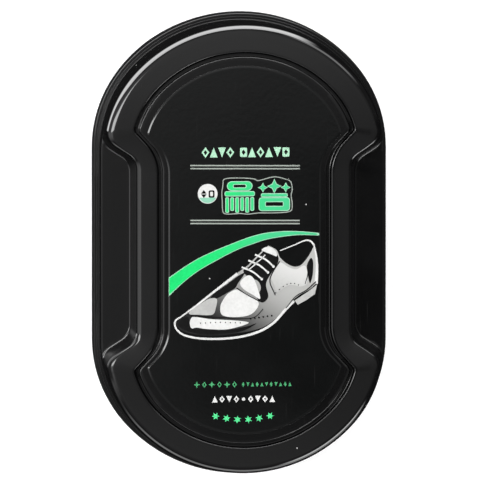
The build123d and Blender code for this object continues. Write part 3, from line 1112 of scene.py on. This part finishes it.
# Rows of small marks below the shoe.
row, y = [], -36.5
for i in range(6):
    x = -13.0 + 2.05 * i
    row.append(diamond(x, y, 1.25, 1.7, 0.5) if i % 2 else star(x, y, 0.9, waist=0.4))
for i in range(11):
    x = -0.4 + 1.27 * i
    row.append(wedge(x, y, 0.85, 1.1, bool(i % 2)) if i % 3 else diamond(x, y, 0.8, 1.4))
print_layer("print_row_mint", row, 0, dim_mint)
row, y = [], -40.5
for i in range(9):
    x = -8.1 + 1.95 * i
    if i == 4:
        row.append(disc_outline(x, y, 0.45, 16))
    elif i % 2:
        row.append(diamond(x, y, 1.5, 1.9, 0.4))
    else:
        row.append(wedge(x, y, 1.55, 1.75, i % 4 == 2))
print_layer("print_row_white", row, 0, white)
row = []
for i in range(6):
    x = -7.9 + 2.96 * i
    y = -46.1 + 0.018 * (x + 0.5) ** 2
    row.append(star(x, y, 1.05, points=6, waist=0.5, turn=0.2 * (i - 2.5)))
print_layer("print_arc_mint", row, 0, ink("ink_arc_mint", (0.06, 0.60, 0.22), 0.4))


# ---- studio
def make_world():
    world = bpy.data.worlds.new("studio")
    bpy.context.scene.world = world
    world.use_nodes = True
    world.node_tree.nodes.clear()
    n = Nodes(world.node_tree)
    direction = n.new("TexCoord").outputs["Generated"]
    split = n.new("SeparateXYZ", {0: direction})
    x, y, z = split.outputs
    flat = n.math("SQRT", n.larger(n.minus(1.0, n.times(z, z)), 1e-6))
    east = n.math("DIVIDE", x, flat)
    north = n.math("DIVIDE", y, flat)
    rise = n.new("Math", {0: z}, operation="ARCSINE").outputs[0]
    deg = math.radians

    def zone(*parts):
        value = parts[0]
        for part in parts[1:]:
            value = n.times(value, part)
        return value

    def near(value, low, high, soft):
        return zone(n.band(value, low - soft, low + soft), n.band(value, high + soft, high - soft))

    def between(low, high, soft):
        return near(rise, deg(low), deg(high), deg(soft))

    # Soft light overhead, dimmer where the flat top of the case looks and towards the front and the right.
    up = n.larger(z, 0.05)
    off_x = n.minus(n.math("DIVIDE", x, up), 0.12)
    off_y = n.times(n.plus(n.math("DIVIDE", y, up), 0.115), 2.4)
    away = n.math("SQRT", n.plus(n.times(off_x, off_x), n.times(off_y, off_y)))
    light = zone(
        n.plus(n.band(away, 0.02, 0.15, 0.04, 0.48), n.band(away, 0.17, 0.40, 0.0, 0.28)),
        n.band(rise, deg(28), deg(58), 0.35, 1.0),
        n.band(y, -0.45, 0.05, 0.40, 1.0),
        n.band(x, 0.45, 0.05, 0.45, 1.0),
        n.band(rise, deg(-35), deg(0), 0.02, 1.0),
    )

    # Softboxes: a long low one behind, strips in front and on the right, and a high strip on the left.
    tuck = n.band(east, -0.80, -1.0, 0.0, deg(-27))
    behind = zone(
        n.band(north, 0.0, 0.10),
        n.band(east, 0.62, 0.42),
        n.band(rise, deg(-58), deg(-8)),
        n.band(n.minus(rise, tuck), deg(25), deg(17)),
    )
    back_right = zone(n.band(north, 0.45, 0.65), n.band(east, 0.35, 0.55), between(14, 40, 4))
    front = zone(n.band(north, -0.55, -0.9), between(-6, 21, 3))
    corner_way = n.minus(n.times(east, 0.60), n.times(north, 0.80))
    front_right = zone(n.band(corner_way, 0.93, 0.985), between(17, 34, 3))
    left_fill = zone(n.band(east, -0.75, -0.97), between(0, 66, 8), n.band(north, 0.05, -0.05, 0.3, 1.0))
    strip = zone(near(x, -0.76, -0.20, 0.03), near(y, 0.0, 0.17, 0.03), n.band(z, 0.0, 0.1))
    for mask, power in (
        (behind, 12.0),
        (back_right, 3.5),
        (front, 3.2),
        (front_right, 10.0),
        (left_fill, 1.35),
        (strip, 11.0),
    ):
        light = n.plus(light, n.times(mask, power))
    light = n.plus(light, 0.006)

    soft = n.new("Background", {0: (1.0, 1.0, 1.0, 1), 1: light})
    plain = n.new("Background", {0: (1.0, 1.0, 1.0, 1), 1: 1.0})
    camera_ray = n.new("LightPath").outputs["Is Camera Ray"]
    mixed = n.new("MixShader", {0: camera_ray, 1: soft.outputs[0], 2: plain.outputs[0]})
    n.new("OutputWorld", {0: mixed.outputs[0]})


make_world()

floor_mesh = bpy.data.meshes.new("floor")
reach = 6.0
corners = [(-reach, -reach, 0), (reach, -reach, 0), (reach, reach, 0), (-reach, reach, 0)]
floor_mesh.from_pydata(corners, [], [(0, 1, 2, 3)])
floor = bpy.data.objects.new("floor", floor_mesh)
bpy.context.scene.collection.objects.link(floor)
floor_material, fn, floor_shader, floor_coords = new_material("floor_pale")
floor_noise = fn.cloud(floor_coords, 3.0)
link(fn, fn.mix(floor_noise, (0.60, 0.60, 0.60, 1), (0.62, 0.62, 0.62, 1)), floor_shader, "Base Color")
floor_shader.inputs["Roughness"].default_value = 0.9
floor_shader.inputs["Emission Color"].default_value = (1, 1, 1, 1)
floor_shader.inputs["Emission Strength"].default_value = 0.55
floor_mesh.materials.append(floor_material)
floor.visible_glossy = False

# Camera: almost straight above, from far away, leaning a little to the left and to the back.
camera_data = bpy.data.cameras.new("camera")
camera = bpy.data.objects.new("camera", camera_data)
bpy.context.scene.collection.objects.link(camera)
back = Vector((-0.0727, 0.103, 1.0)).normalized()
right = Vector((0, 1, 0)).cross(back).normalized()
top = back.cross(right)
distance = 5.0
picture_width = 0.13605
turn = Matrix((right, top, back)).transposed().to_4x4()
aim = Vector((3.05, -2.155, 22.0)) * MM
camera.matrix_world = Matrix.Translation(aim + back * distance) @ turn
camera_data.lens = camera_data.sensor_width * distance / picture_width
camera_data.clip_start = 0.1
camera_data.clip_end = 50.0
bpy.context.scene.camera = camera
view = bpy.context.scene.view_settings
view.view_transform = "Standard"
view.look = "None"
